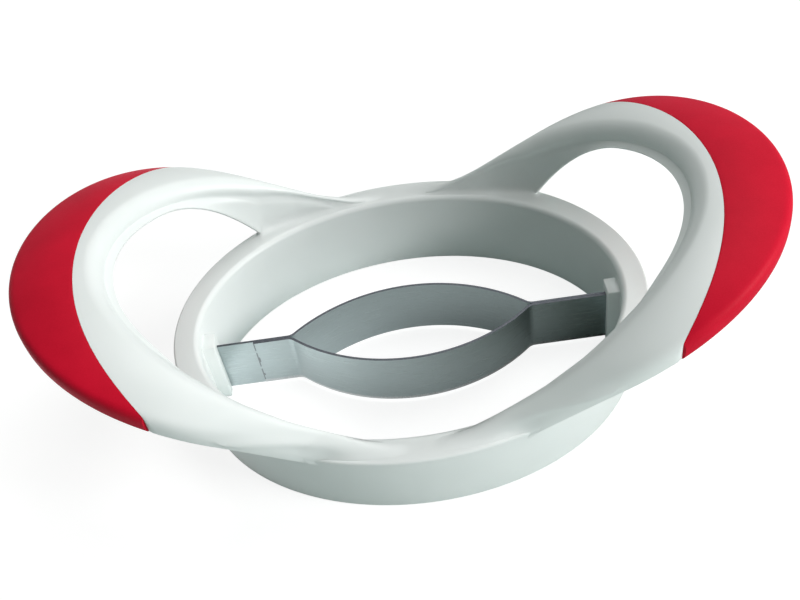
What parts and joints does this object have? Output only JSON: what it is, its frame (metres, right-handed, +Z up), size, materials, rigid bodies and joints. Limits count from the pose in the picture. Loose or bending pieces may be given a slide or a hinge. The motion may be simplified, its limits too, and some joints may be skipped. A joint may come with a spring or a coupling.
{
  "type": "mango slicer",
  "caption": "Oval ring fruit slicer with bent steel blades that form a seed eye, and swept-up loop handles with soft end grips, pressed down over a mango to part its cheeks from the stone.",
  "frame": {"origin": "centre of the ring's base, which is the flat face that the slicer stands on", "axes": "+X along the handles, +Y across the ring, +Z up from the base"},
  "size_m": [0.184, 0.1002, 0.0568],
  "materials": {
    "frame_plastic": "satin white moulded plastic",
    "grip_rubber": "soft-touch red overmould with a fine grain",
    "blade_steel": "brushed along the strip, ground at the cutting edge"
  },
  "bodies": {
    "root": {"frame": "frame_plastic", "left_grip": "grip_rubber", "right_grip": "grip_rubber", "front_blade": "blade_steel", "rear_blade": "blade_steel"}
  },
  "joints": []
}
